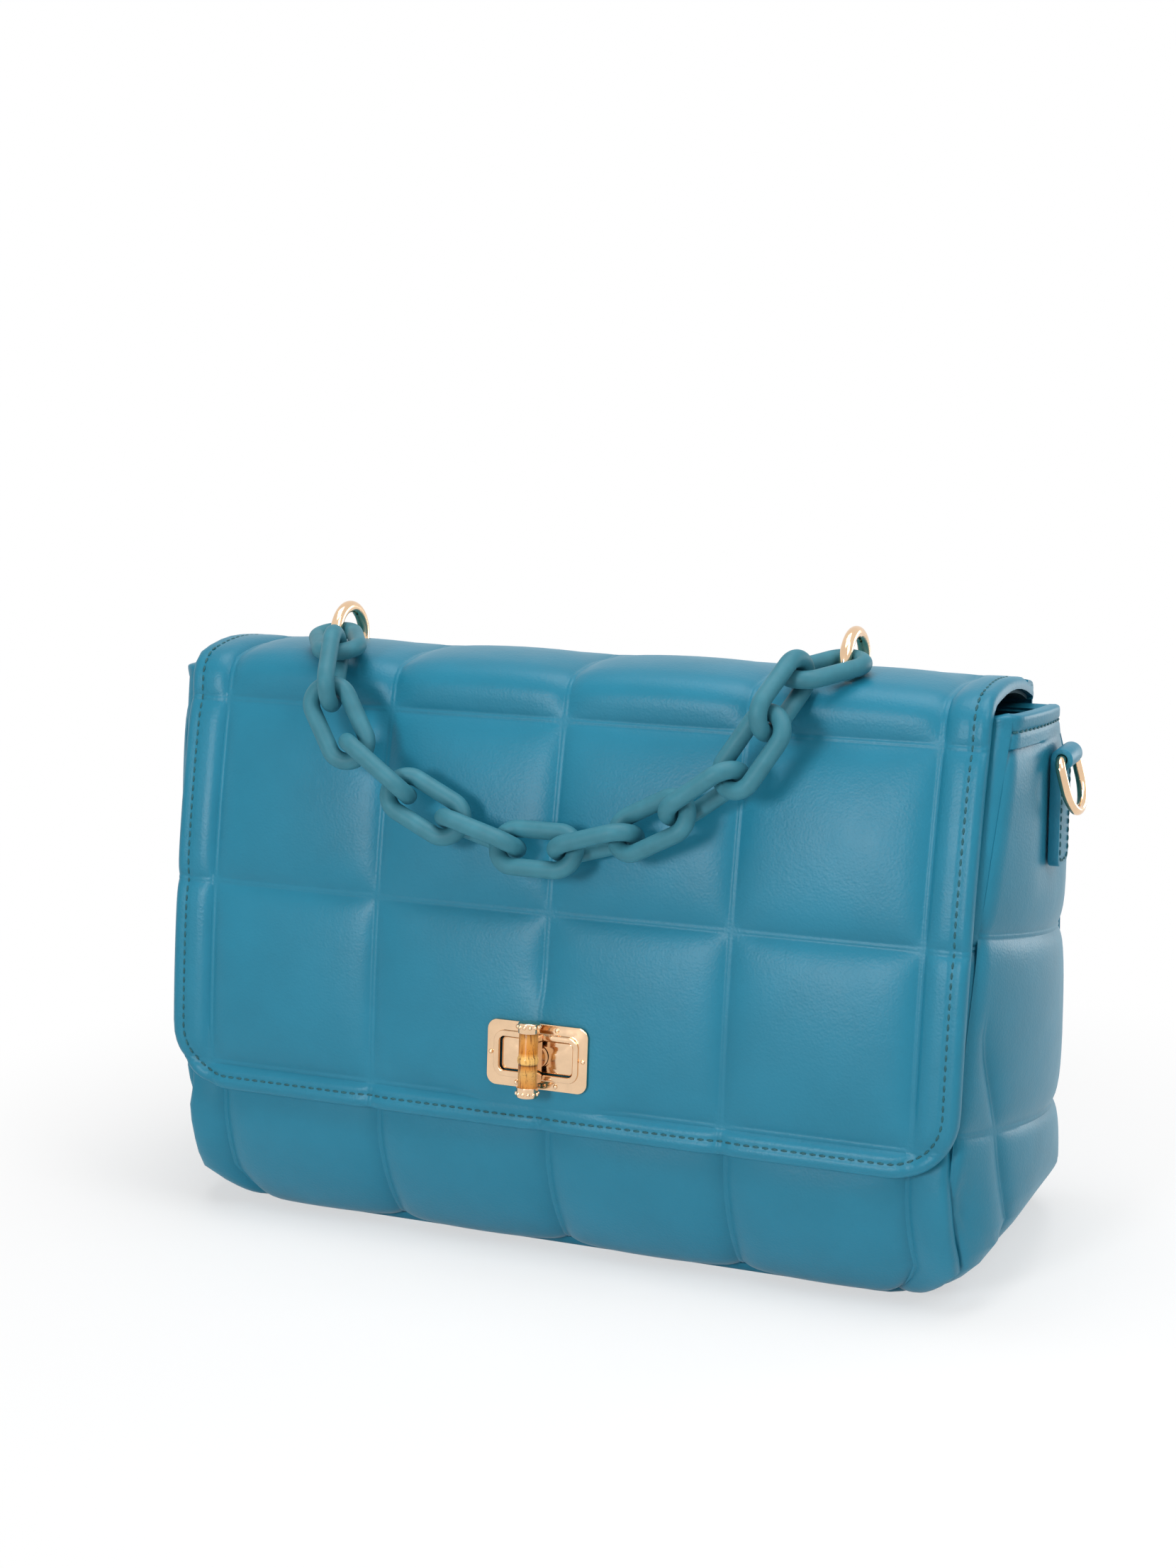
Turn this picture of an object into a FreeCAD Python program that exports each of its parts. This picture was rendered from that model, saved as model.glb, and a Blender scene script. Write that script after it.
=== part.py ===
"""Chain shoulder bag: soft flap bag with turn lock, chain handle and side rings.

Frame: millimetres, +Z up, front towards -Y, origin at the middle of the base.
Each function makes one piece or one group of like pieces.
"""
import FreeCAD
import Part

import math
import os

V = FreeCAD.Vector

# Bag body
base_half_depth = 55.0
rim_height = 214.0
mid_share = 0.645
belly_share = 0.313
low_share = 0.103
front_rim_reach = 45.0
front_mid_reach = 64.5
front_belly_reach = 75.0
front_low_reach = 70.0
back_rim_reach = 8.0
back_mid_reach = 46.0
back_belly_reach = 66.0
back_low_reach = 64.0
panel_half_width = 156.0
gusset_bulge = 17.0
gusset_front_end = 84.0
gusset_back_end = 74.0
corner_height = 60.0
corner_inset = 37.0
corner_margin = 1.0
corner_mid_shares = (0.33, 0.28)
panel_wall = 3.0
base_seam_height = 12.0

# Lining and base board
board_thickness = 2.0
board_margin = 6.0
lining_wall = 1.0
facing_depth = 26.0

# Flap
flap_gap = 0.5
flap_thickness = 7.0
flap_lining_wall = 1.6
flap_half_width = 161.0
flap_bottom_share = 0.262
flap_corner_radius = 25.0
shoulder_rise = 6.0
shoulder_run = 9.0
shoulder_shares = (0.28, 0.68)
crown_rise = 6.5
crown_lean_shares = ((-1, 0), (-0.76, 0.65), (-0.24, 0.97), (0, 1), (0, 1))

# Quilting: channels between the padded squares
quilt_pitch = 72.0
quilt_half_width = 7.0
flap_quilt_depth = 2.8
panel_quilt_depth = 1.9
channel_lip = 0.5
top_row_drop = 9.2

# Handle rings
ring_half_span = 103.5
ring_forward = 25.0
ring_outer_diameter = 27.0
ring_wire = 4.6
ring_stand = 1.8
ring_slot_play = 1.0
anchor_width = 12.0
anchor_wall = 1.6

# Handle chain: bends in degrees from the middle link to the end link, face-on and edge-on by turns
link_inner_length = 24.5
link_inner_width = 8.0
link_wire = 6.5
link_play = 0.8
link_bends = (30.0, -13.0, 18.0, -2.0, 47.0, 60.0, -32.0)
bend_limit_shares = (0.0, 2.0)
chain_stand_angle = 13.6
hook_angle = 9.0
search_steps = 40

# Turn lock
lock_height_share = 0.402
frame_width = 41.0
frame_height = 25.0
frame_corner = 4.0
frame_plate = 1.2
frame_lip = 1.4
frame_lip_width = 2.2
window_width = 30.0
window_height = 13.0
window_corner = 2.0
boss_play = 0.8
boss_proud = 0.8
back_plate_margin = 1.0
spindle_diameter = 4.0
spindle_play = 0.05
hole_play = 0.4
backing_width = 32.0
backing_height = 15.0
backing_plate = 1.0
clip_diameter = 9.0
clip_plate = 0.8
seat_gap = 0.15

# Toggle
toggle_length = 28.4
toggle_diameter = 7.2
toggle_knuckle = 8.0
toggle_knuckle_length = 3.0
cap_length = 4.0
cap_diameter = 8.2
cap_wall = 0.8
saddle_diameter = 9.0
saddle_width = 6.0
saddle_length = 18.0
toggle_lift = 5.6

# Side rings and their tabs
tab_width = 15.0
tab_leather = 2.0
tab_drop = 17.0
tab_length = 40.0
tab_end_radius = 4.0
tab_centre = -5.0
dring_wire = 3.6
dring_width = 22.5
dring_drop = 20.0
dring_tilt = 15.0
dring_play = 0.25

# Working values
overrun = 40.0
half_turn = 180.0
X_AXIS = V(1, 0, 0)
Y_AXIS = V(0, 1, 0)
Z_AXIS = V(0, 0, 1)
CENTRE = V(0, 0, 0)
span = 2 * (panel_half_width + gusset_bulge + overrun)
flap_offset = flap_gap + flap_thickness
mid_height = rim_height * mid_share
belly_height = rim_height * belly_share
low_height = rim_height * low_share
flap_bottom = rim_height * flap_bottom_share
lock_height = rim_height * lock_height_share
tab_top = rim_height - tab_drop
tab_bottom = tab_top - tab_length
face_lean = math.degrees(math.atan2(front_mid_reach - front_rim_reach, rim_height - mid_height))
chain_tilt = face_lean + chain_stand_angle
quilt_columns = [column * quilt_pitch for column in (-2, -1, 0, 1, 2)]
hinge_y = back_rim_reach - panel_wall / 2
hinge_z = rim_height + flap_gap + flap_thickness / 2


def line(a, b):
    return Part.LineSegment(a, b).toShape()


def arc(a, middle, b):
    return Part.Arc(a, middle, b).toShape()


def prism(edges, run):
    """Solid made by pushing a closed outline along a vector."""
    return Part.Face(Part.Wire(edges)).extrude(run)


def box(x0, x1, y0, y1, z0, z1):
    return Part.makeBox(x1 - x0, y1 - y0, z1 - z0, V(x0, y0, z0))


def yz(y, z):
    """Point of a side profile, at the left end of the span."""
    return V(-span / 2, y, z)


def front_edges(grow):
    """Front curve of the side profile from rim to base, moved out by grow."""
    rim = yz(-front_rim_reach - grow, rim_height)
    mid = yz(-front_mid_reach - grow, mid_height)
    belly = yz(-front_belly_reach - grow, belly_height)
    low = yz(-front_low_reach - grow, low_height)
    base = yz(-base_half_depth - grow, 0)
    return [arc(rim, mid, belly), arc(belly, low, base)]


def back_edges(grow):
    """Back curve of the side profile from base to rim, moved out by grow."""
    base = yz(base_half_depth + grow, 0)
    low = yz(back_low_reach + grow, low_height)
    belly = yz(back_belly_reach + grow, belly_height)
    mid = yz(back_mid_reach + grow, mid_height)
    rim = yz(back_rim_reach + grow, rim_height)
    return [arc(base, low, belly), arc(belly, mid, rim)]


def side_prism(grow):
    """The side profile of the bag, as long as the span."""
    front = front_edges(grow)
    back = back_edges(grow)
    floor = line(yz(-base_half_depth - grow, 0), yz(base_half_depth + grow, 0))
    top = line(yz(back_rim_reach + grow, rim_height), yz(-front_rim_reach - grow, rim_height))
    return prism(front + [floor] + back + [top], V(span, 0, 0))


def plan_prism(inset):
    """Plan of the bag with both gussets bowed out."""
    half = panel_half_width - inset
    bow = half + gusset_bulge
    middle = (gusset_back_end - gusset_front_end) / 2
    front = -gusset_front_end
    back = gusset_back_end
    edges = [
        line(V(-half, front, 0), V(half, front, 0)),
        arc(V(half, front, 0), V(bow, middle, 0), V(half, back, 0)),
        line(V(half, back, 0), V(-half, back, 0)),
        arc(V(-half, back, 0), V(-bow, middle, 0), V(-half, front, 0)),
    ]
    return prism(edges, V(0, 0, rim_height))


def corner_prism(inset):
    """Front view of the bag with its lower corners drawn in."""
    wide = panel_half_width + gusset_bulge + corner_margin - inset
    foot = wide - corner_inset
    cut = wide - corner_inset * corner_mid_shares[0]
    mid_z = corner_height * corner_mid_shares[1]
    y = -gusset_front_end - overrun
    edges = [
        line(V(-foot, y, 0), V(foot, y, 0)),
        arc(V(foot, y, 0), V(cut, y, mid_z), V(wide, y, corner_height)),
        line(V(wide, y, corner_height), V(wide, y, rim_height)),
        line(V(wide, y, rim_height), V(-wide, y, rim_height)),
        line(V(-wide, y, rim_height), V(-wide, y, corner_height)),
        arc(V(-wide, y, corner_height), V(-cut, y, mid_z), V(-foot, y, 0)),
    ]
    return prism(edges, V(0, gusset_front_end + gusset_back_end + 2 * overrun, 0))


def bag_form(inset):
    """Whole form of the bag, drawn in by inset on its sides."""
    return side_prism(-inset).common(plan_prism(inset)).common(corner_prism(inset))


def above(shape, z):
    return shape.common(box(-span, span, -span, span, z, rim_height + span))


def below(shape, z):
    return shape.common(box(-span, span, -span, span, -span, z))


def in_front(shape):
    return shape.common(box(-span, span, -span, 0, -span, span))


def behind(shape):
    return shape.common(box(-span, span, 0, span, -span, span))


def channel_down(edge, x, depth):
    """Sewn channel along an arc of the profile, as a wedge to cut away."""
    start = edge.valueAt(edge.FirstParameter)
    out = (start - edge.Curve.Center).normalize()
    middle = V(x, start.y, start.z)
    half = quilt_half_width * (1 + channel_lip / depth)
    apex = middle - out * depth
    lips = [middle + out * channel_lip + X_AXIS * side * half for side in (-1, 1)]
    wedge = Part.Face(Part.makePolygon([apex] + lips + [apex]))
    turn = math.degrees(edge.LastParameter - edge.FirstParameter)
    return wedge.revolve(edge.Curve.Center, edge.Curve.Axis, turn)


def channel_across(edge, z, depth):
    """Sewn channel across the bag where an arc of the profile passes a height."""
    circle = edge.Curve
    rise = z - circle.Center.z
    reach = math.copysign(math.sqrt(circle.Radius ** 2 - rise ** 2), edge.Vertexes[0].Y - circle.Center.y)
    middle = yz(circle.Center.y + reach, z)
    out = V(0, reach, rise).normalize()
    half = quilt_half_width * (1 + channel_lip / depth)
    apex = middle - out * depth
    lips = [middle + out * channel_lip + out.cross(X_AXIS) * side * half for side in (-1, 1)]
    return Part.Face(Part.makePolygon([apex] + lips + [apex])).extrude(V(span, 0, 0))


def quilt_channels(edges, rows_on, heights, depth):
    """Channels down every column and across at the given heights."""
    down = [channel_down(edge, x, depth) for edge in edges for x in quilt_columns]
    return down + [channel_across(rows_on, z, depth) for z in heights]


def body_panels():
    """Front, back, base and two gussets, sewn edge to edge."""
    form = bag_form(0)
    sleeve = above(side_prism(-panel_wall), panel_wall)
    cavity = above(bag_form(panel_wall), panel_wall)
    band = form.cut(sleeve)
    sides = form.common(sleeve).cut(cavity)
    upper = above(band, base_seam_height)
    front = front_edges(0)
    back = back_edges(0)
    front_quilt = quilt_channels(front, front[0], [mid_height], panel_quilt_depth)
    back_quilt = quilt_channels(back, back[1], [mid_height, belly_height], panel_quilt_depth)
    return {
        "front_panel": in_front(upper).cut([lock_hole(hole_play)] + front_quilt),
        "back_panel": behind(upper).cut(back_quilt),
        "base_panel": below(band, base_seam_height),
        "left_gusset": sides.common(box(-span, 0, -span, span, -span, span)),
        "right_gusset": sides.common(box(0, span, -span, span, -span, span)),
    }


def inner_pieces():
    """Base board, lining bag and the leather facing inside the rim."""
    board_top = panel_wall + board_thickness
    cavity = bag_form(panel_wall)
    board = below(above(bag_form(panel_wall + board_margin), panel_wall), board_top)
    room = above(bag_form(panel_wall + lining_wall), board_top + lining_wall)
    skin = above(cavity, board_top).cut(room).cut(lock_hole(hole_play))
    facing_bottom = rim_height - facing_depth
    return {
        "base_board": board,
        "lining": below(skin, facing_bottom),
        "rim_facing": above(skin, facing_bottom),
    }


def crown_points(out):
    """Five points of the crown from the front rim to the hinge, moved out by out."""
    front = -front_rim_reach - flap_gap
    middle = (front + shoulder_run + hinge_y) / 2
    under = hinge_z - flap_thickness / 2
    places = [
        (front, rim_height),
        (front + shoulder_run * shoulder_shares[0], rim_height + shoulder_rise * shoulder_shares[1]),
        (front + shoulder_run, rim_height + shoulder_rise),
        (middle, rim_height + crown_rise),
        (hinge_y, under),
    ]
    return [yz(y + out * ny, z + out * nz) for (y, z), (ny, nz) in zip(places, crown_lean_shares)]


def crown_edges(out):
    """Shoulder and crown curves, front to back."""
    a, b, c, d, e = crown_points(out)
    return [arc(a, b, c), arc(c, d, e)]


def flap_layer(inner, outer):
    """Flap between two depths, crown and front in one piece."""
    front = side_prism(flap_gap + outer).cut(side_prism(flap_gap + inner))
    front = front.common(box(-span, span, -span, 0, flap_bottom, rim_height))
    low = crown_points(inner)
    high = crown_points(outer)
    edges = crown_edges(inner) + [line(low[-1], high[-1])] + crown_edges(outer) + [line(high[0], low[0])]
    crown = prism(Part.__sortEdges__(edges), V(span, 0, 0))
    return front.fuse(crown).removeSplitter()


def flap_outline():
    """Front view of the flap with rounded lower corners."""
    wide = flap_half_width
    r = flap_corner_radius
    slant = r * (1 - math.sqrt(0.5))
    y = -span / 2
    z0 = flap_bottom
    z1 = rim_height + span
    edges = [
        line(V(-wide + r, y, z0), V(wide - r, y, z0)),
        arc(V(wide - r, y, z0), V(wide - slant, y, z0 + slant), V(wide, y, z0 + r)),
        line(V(wide, y, z0 + r), V(wide, y, z1)),
        line(V(wide, y, z1), V(-wide, y, z1)),
        line(V(-wide, y, z1), V(-wide, y, z0 + r)),
        arc(V(-wide, y, z0 + r), V(-wide + slant, y, z0 + slant), V(-wide + r, y, z0)),
    ]
    return prism(edges, V(0, span, 0))


def flap_pieces():
    """Padded outer flap, its lining and the two strips that hold the handle rings."""
    r = flap_thickness / 2
    roll = Part.makeCylinder(r, span, yz(hinge_y, hinge_z), X_AXIS)
    roll = roll.common(box(-span, span, hinge_y, hinge_y + span, 0, span))
    outer = flap_layer(flap_lining_wall, flap_thickness).fuse(roll).removeSplitter()
    lining = flap_layer(0, flap_lining_wall)
    channels = [ring_torus(side, ring_slot_play) for side in (-1, 1)]
    opening = lock_plate(window_width, window_height, window_corner, -overrun, overrun)
    recess = lock_plate(frame_width, frame_height, frame_corner, 0, overrun)
    outline = flap_outline()
    front = front_edges(flap_offset)[0]
    rows = [rim_height - top_row_drop, mid_height, belly_height]
    quilt = quilt_channels(crown_edges(flap_thickness) + [front], front, rows, flap_quilt_depth)
    outer = outer.common(outline).cut(channels + [opening] + quilt)
    lining = lining.common(outline).cut(channels + [recess])
    pieces = {"flap_outer": outer, "flap_lining": lining}
    for side, name in ((-1, "left_ring_anchor"), (1, "right_ring_anchor")):
        pieces[name] = ring_anchor(side)
    return pieces


def crown_top(y):
    """Height of the crown's outer face at a depth."""
    circle = crown_edges(flap_thickness)[1].Curve
    return circle.Center.z + math.sqrt(circle.Radius ** 2 - (y - circle.Center.y) ** 2)


def ring_centre(side):
    return V(side * ring_half_span, -ring_forward, crown_top(-ring_forward) + ring_stand)


def ring_torus(side, play):
    """Handle ring, its wire made thicker by play all round."""
    middle = (ring_outer_diameter - ring_wire) / 2
    return Part.makeTorus(middle, ring_wire / 2 + play, ring_centre(side), X_AXIS)


def ring_anchor(side):
    """Folded strip under the crown, round the lowest part of the ring."""
    c = ring_centre(side)
    half = ring_wire / 2 + ring_slot_play + anchor_wall
    bottom = c.z - ring_outer_diameter / 2 - ring_slot_play - anchor_wall
    top = c.z - ring_stand - flap_thickness / 2
    block = box(c.x - half, c.x + half, c.y - anchor_width / 2, c.y + anchor_width / 2, bottom, top)
    return block.cut([flap_layer(0, flap_thickness), ring_torus(side, ring_slot_play / 2)])


def tube(edges, wire):
    """Round wire along straight runs and tangent arcs."""
    parts = []
    for edge in edges:
        start = edge.valueAt(edge.FirstParameter)
        heading = edge.tangentAt(edge.FirstParameter)
        disc = Part.Face(Part.Wire(Part.makeCircle(wire / 2, start, heading)))
        if isinstance(edge.Curve, Part.Circle):
            turn = math.degrees(edge.LastParameter - edge.FirstParameter)
            parts.append(disc.revolve(edge.Curve.Center, edge.Curve.Axis, turn))
        else:
            parts.append(disc.extrude(heading * edge.Length))
    return parts[0].multiFuse(parts[1:]).removeSplitter()


def chain_link():
    """One link, its length along X and flat in the XY plane."""
    bend = (link_inner_width + link_wire) / 2
    half = (link_inner_length - link_inner_width) / 2
    edges = [
        line(V(-half, -bend, 0), V(half, -bend, 0)),
        arc(V(half, -bend, 0), V(half + bend, 0, 0), V(half, bend, 0)),
        line(V(half, bend, 0), V(-half, bend, 0)),
        arc(V(-half, bend, 0), V(-half - bend, 0, 0), V(-half, -bend, 0)),
    ]
    return tube(edges, link_wire)


def turned(vector, axis, angle):
    return FreeCAD.Rotation(axis, angle).multVec(vector)


def chain_side(bend_share):
    """Right half of the chain from its middle link: centre, run and facing of each link, and the end."""
    pitch = link_inner_length - link_inner_width
    nest = (link_inner_width + link_wire) / 2
    lean = math.radians(chain_tilt)
    facing = V(0, -math.cos(lean), math.sin(lean))
    links = [(CENTRE, X_AXIS, facing)]
    normal = facing
    point = X_AXIS * (pitch / 2)
    run = turned(X_AXIS, facing, bend_share * link_bends[0] / 2)
    for i, bend in enumerate(link_bends[1:]):
        point = point + run * nest
        normal = normal.cross(run)
        half = bend / 2
        if i % 2:
            normal = normal if normal.dot(facing) > 0 else normal * -1
            half = half * bend_share
        along = turned(run, normal, half)
        links.append((point + along * (pitch / 2), along, normal))
        point = point + along * pitch
        run = turned(along, normal, half)
    return links, point + along * ((link_inner_width - ring_wire) / 2 - link_play)


def basis_placement(along, normal, at):
    """Placement that lays X along one direction and Z along another."""
    x = V(along).normalize()
    z = (normal - x * normal.dot(x)).normalize()
    y = z.cross(x)
    m = FreeCAD.Matrix(x.x, y.x, z.x, at.x, x.y, y.y, z.y, at.y, x.z, y.z, z.z, at.z, 0, 0, 0, 1)
    return FreeCAD.Placement(m)


def handle_pieces():
    """Two rings and the chain of links, lying over the front of the flap."""
    pieces = {"left_ring": ring_torus(-1, 0), "right_ring": ring_torus(1, 0)}
    lean = math.radians(hook_angle)
    reach = (ring_outer_diameter - ring_wire) / 2
    hook = ring_centre(1) + V(0, -math.cos(lean), math.sin(lean)) * reach
    low, high = bend_limit_shares
    for _ in range(search_steps):
        middle = (low + high) / 2
        if chain_side(middle)[1].x > hook.x:
            low = middle
        else:
            high = middle
    links, end = chain_side(high)
    print("share of the link bends", round(high, 3))
    shift = V(0, hook.y - end.y, hook.z - end.z)
    link = chain_link()
    for i, (centre, run, normal) in enumerate(links):
        for side in ((-1, 1) if i else (1,)):
            along, face, at = [V(side * v.x, v.y, v.z) for v in (run, normal, centre + shift)]
            copy = link.copy()
            copy.Placement = basis_placement(along, face, at)
            pieces["chain_link_%02d" % (len(links) + side * i)] = copy
    return pieces


def lock_seat():
    """Point and upward lean of the flap's face at the lock."""
    circle = front_edges(flap_offset)[0].Curve
    rise = lock_height - circle.Center.z
    y = circle.Center.y - math.sqrt(circle.Radius ** 2 - rise ** 2)
    return V(0, y, lock_height), math.asin(rise / circle.Radius)


def on_lock(shape):
    """Turn and move a lock piece from the origin to its seat on the flap."""
    point, lean = lock_seat()
    shape.rotate(CENTRE, X_AXIS, -math.degrees(lean))
    shape.translate(point)
    return shape


def plate(width, height, corner, y0, y1):
    """Round-cornered plate in the XZ plane, from y0 to y1."""
    w, h, r = width / 2, height / 2, corner
    k = r * (1 - math.sqrt(0.5))
    edges = []
    for sx, sz in ((1, 1), (-1, 1), (-1, -1), (1, -1)):
        side = V(sx * w, y0, sz * (h - r))
        mid = V(sx * (w - k), y0, sz * (h - k))
        end = V(sx * (w - r), y0, sz * h)
        edges.append(arc(side, mid, end) if sx * sz > 0 else arc(end, mid, side))
    joins = [line(a.Vertexes[-1].Point, b.Vertexes[0].Point) for a, b in zip(edges, edges[1:] + edges[:1])]
    return prism(Part.__sortEdges__(edges + joins), V(0, y1 - y0, 0))


def lock_plate(width, height, corner, y0, y1):
    return on_lock(plate(width, height, corner, y0, y1))


def lock_rod(diameter, y0, y1):
    return on_lock(Part.makeCylinder(diameter / 2, y1 - y0, V(0, y0, 0), Y_AXIS))


def lock_hole(play):
    """Hole for the spindle through panel and lining."""
    return lock_rod(spindle_diameter + 2 * play, -overrun, overrun)


def lock_depths():
    """Depths of the front panel's face and the lining's inner face, square to the flap's face."""
    square = math.cos(lock_seat()[1])
    return [square * d for d in (flap_offset, flap_offset + panel_wall + lining_wall)]


def lock_pieces():
    """Framed window on the flap, its back plate, the boss on the bag and its backing plate."""
    face = -seat_gap
    front = face - frame_plate
    frame = plate(frame_width, frame_height, frame_corner, front, face)
    lip_w = window_width + 2 * frame_lip_width
    lip_h = window_height + 2 * frame_lip_width
    lip = plate(lip_w, lip_h, window_corner + frame_lip_width, front - frame_lip, front)
    window = plate(window_width, window_height, window_corner, -overrun, overrun)
    frame = frame.fuse(lip).removeSplitter().cut(window)
    panel_face, lining_face = lock_depths()
    flap_back = panel_face - flap_gap
    sheet = flap_lining_wall - 2 * seat_gap
    back = plate(frame_width - back_plate_margin, frame_height - back_plate_margin, frame_corner,
                 flap_back - sheet, flap_back)
    boss = plate(window_width - boss_play, window_height - boss_play, window_corner - boss_play / 2,
                 -boss_proud, panel_face - seat_gap)
    bore = Part.makeCylinder(spindle_diameter / 2 + spindle_play, 2 * overrun, V(0, -overrun, 0), Y_AXIS)
    start = lining_face + seat_gap
    backing = plate(backing_width, backing_height, window_corner, start, start + backing_plate)
    return {
        "lock_frame": on_lock(frame),
        "lock_frame_back": on_lock(back.cut(window)),
        "lock_base": on_lock(boss.cut(bore)),
        "lock_backing_plate": on_lock(backing.cut(bore)),
    }


def bamboo_bar(stand):
    """Turned bar with a knuckle at its middle, standing along Z."""
    r, k = toggle_diameter / 2, toggle_knuckle / 2
    half = toggle_length / 2 - cap_wall
    swell = toggle_knuckle_length / 2
    places = [(0, -half), (r, -half), (r, -swell), (k, 0), (r, swell), (r, half), (0, half)]
    points = [V(x, 0, z) for x, z in places]
    edges = [line(points[0], points[1]), line(points[1], points[2]),
             arc(points[2], points[3], points[4]),
             line(points[4], points[5]), line(points[5], points[6]), line(points[6], points[0])]
    bar = Part.Face(Part.Wire(edges)).revolve(CENTRE, Z_AXIS, 2 * half_turn)
    bar.translate(V(0, -stand, 0))
    return bar


def toggle_pieces():
    """Bamboo toggle, its caps and saddle, and the spindle that it turns on."""
    hub_back = -boss_proud - hole_play
    saddle_back = -seat_gap - frame_plate - frame_lip - hole_play
    stand = -saddle_back + toggle_lift
    bar = bamboo_bar(stand)
    saddle = box(-saddle_width / 2, saddle_width / 2, -stand, saddle_back,
                 -saddle_length / 2, saddle_length / 2)
    hub = Part.makeCylinder(saddle_diameter / 2, hub_back - saddle_back, V(0, saddle_back, 0), Y_AXIS)
    saddle = saddle.fuse(hub).removeSplitter().cut(bar)
    pieces = {"toggle_bar": bar, "toggle_saddle": saddle}
    cap_start = toggle_length / 2 - cap_length
    cap = Part.makeCylinder(cap_diameter / 2, cap_length, V(0, -stand, cap_start))
    cap = cap.makeFillet(cap_wall, [e for e in cap.Edges if e.BoundBox.ZMin > cap_start + cap_wall
                                    and isinstance(e.Curve, Part.Circle)]).cut(bar)
    pieces["toggle_top_cap"] = cap
    pieces["toggle_bottom_cap"] = cap.mirror(CENTRE, Z_AXIS)
    clip_start = lock_depths()[1] + 2 * seat_gap + backing_plate
    pieces["toggle_spindle"] = Part.makeCylinder(spindle_diameter / 2, clip_start - hub_back,
                                                 V(0, hub_back, 0), Y_AXIS)
    pieces["spindle_clip"] = Part.makeCylinder(clip_diameter / 2, clip_plate, V(0, clip_start, 0), Y_AXIS)
    return {name: on_lock(shape) for name, shape in pieces.items()}


def tab_eye():
    """Centre and outer radius of the loop at the top of the right tab."""
    outer = dring_wire / 2 + dring_play + tab_leather
    x = panel_half_width + gusset_bulge + seat_gap + outer
    return V(x, tab_centre, tab_top), outer


def side_tab():
    """Doubled leather strip on the right gusset, looped at its top."""
    eye, outer = tab_eye()
    x0 = eye.x - outer
    y0 = tab_centre - tab_width / 2
    y1 = tab_centre + tab_width / 2
    strip = box(x0, x0 + 2 * tab_leather, y0, y1, tab_bottom, tab_top)
    foot = [e for e in strip.Edges if e.BoundBox.ZMax < tab_top and e.BoundBox.YLength == 0
            and e.BoundBox.XLength > tab_leather]
    strip = strip.makeFillet(tab_end_radius, foot)
    loop = Part.makeCylinder(outer, tab_width, V(eye.x, y0, tab_top), Y_AXIS)
    bore = Part.makeCylinder(outer - tab_leather, tab_width, V(eye.x, y0, tab_top), Y_AXIS)
    return strip.fuse(loop).removeSplitter().cut(bore)


def side_ring():
    """D-shaped ring in the right tab, leaning out from it."""
    eye = tab_eye()[0]
    w = dring_width / 2
    r = dring_wire
    k = r * (1 - math.sqrt(0.5))
    leg = dring_drop - w
    edges = [
        line(V(0, -w + r, 0), V(0, w - r, 0)),
        arc(V(0, w - r, 0), V(0, w - k, -k), V(0, w, -r)),
        line(V(0, w, -r), V(0, w, -leg)),
        arc(V(0, w, -leg), V(0, 0, -leg - w), V(0, -w, -leg)),
        line(V(0, -w, -leg), V(0, -w, -r)),
        arc(V(0, -w, -r), V(0, -w + k, -k), V(0, -w + r, 0)),
    ]
    ring = tube(edges, dring_wire)
    ring.rotate(CENTRE, Y_AXIS, -dring_tilt)
    ring.translate(eye)
    return ring


def side_pieces():
    """A tab and a ring on each gusset, the left pair mirrored from the right."""
    pieces = {}
    for name, shape in (("dring_tab", side_tab()), ("dring", side_ring())):
        pieces["right_" + name] = shape
        pieces["left_" + name] = shape.mirror(CENTRE, X_AXIS)
    return pieces


def main():
    os.makedirs("parts", exist_ok=True)
    groups = (body_panels, inner_pieces, flap_pieces, handle_pieces, lock_pieces,
              toggle_pieces, side_pieces)
    for group in groups:
        for name, shape in group().items():
            shape.exportStep("parts/%s.step" % name)
            print(name, len(shape.Solids), shape.isValid(), round(shape.Volume, 1))


main()
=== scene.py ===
"""Chain shoulder bag: quilted leather, lining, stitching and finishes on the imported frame."""
import math

import bmesh
import bpy
import numpy as np
from mathutils import Matrix, Vector


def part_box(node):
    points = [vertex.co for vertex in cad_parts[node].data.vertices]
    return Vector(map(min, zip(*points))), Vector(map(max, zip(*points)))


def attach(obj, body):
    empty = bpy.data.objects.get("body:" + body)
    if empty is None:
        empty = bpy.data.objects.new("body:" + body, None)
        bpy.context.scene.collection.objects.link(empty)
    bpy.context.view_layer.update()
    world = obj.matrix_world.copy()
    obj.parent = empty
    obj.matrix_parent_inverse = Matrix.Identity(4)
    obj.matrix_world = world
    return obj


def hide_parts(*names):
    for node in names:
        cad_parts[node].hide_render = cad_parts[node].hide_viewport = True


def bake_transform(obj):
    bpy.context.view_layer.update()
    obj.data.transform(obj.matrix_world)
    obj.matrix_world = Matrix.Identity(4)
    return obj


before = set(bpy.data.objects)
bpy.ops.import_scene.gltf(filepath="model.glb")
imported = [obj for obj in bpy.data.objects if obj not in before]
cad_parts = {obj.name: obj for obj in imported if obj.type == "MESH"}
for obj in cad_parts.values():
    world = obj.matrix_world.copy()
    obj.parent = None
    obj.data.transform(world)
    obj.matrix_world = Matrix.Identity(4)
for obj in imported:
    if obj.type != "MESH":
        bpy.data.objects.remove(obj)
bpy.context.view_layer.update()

bl_info = {
    "name": "Chain Shoulder Bag",
    "version": (1, 0, 0),
    "blender": (4, 5, 0),
    "location": "View3D > Sidebar > Bag",
    "description": "Builds a quilted flap bag with a chain handle and a turn lock",
    "category": "Object",
}

MM = 0.001
RGB = {"size": 3, "min": 0, "max": 1}

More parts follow.
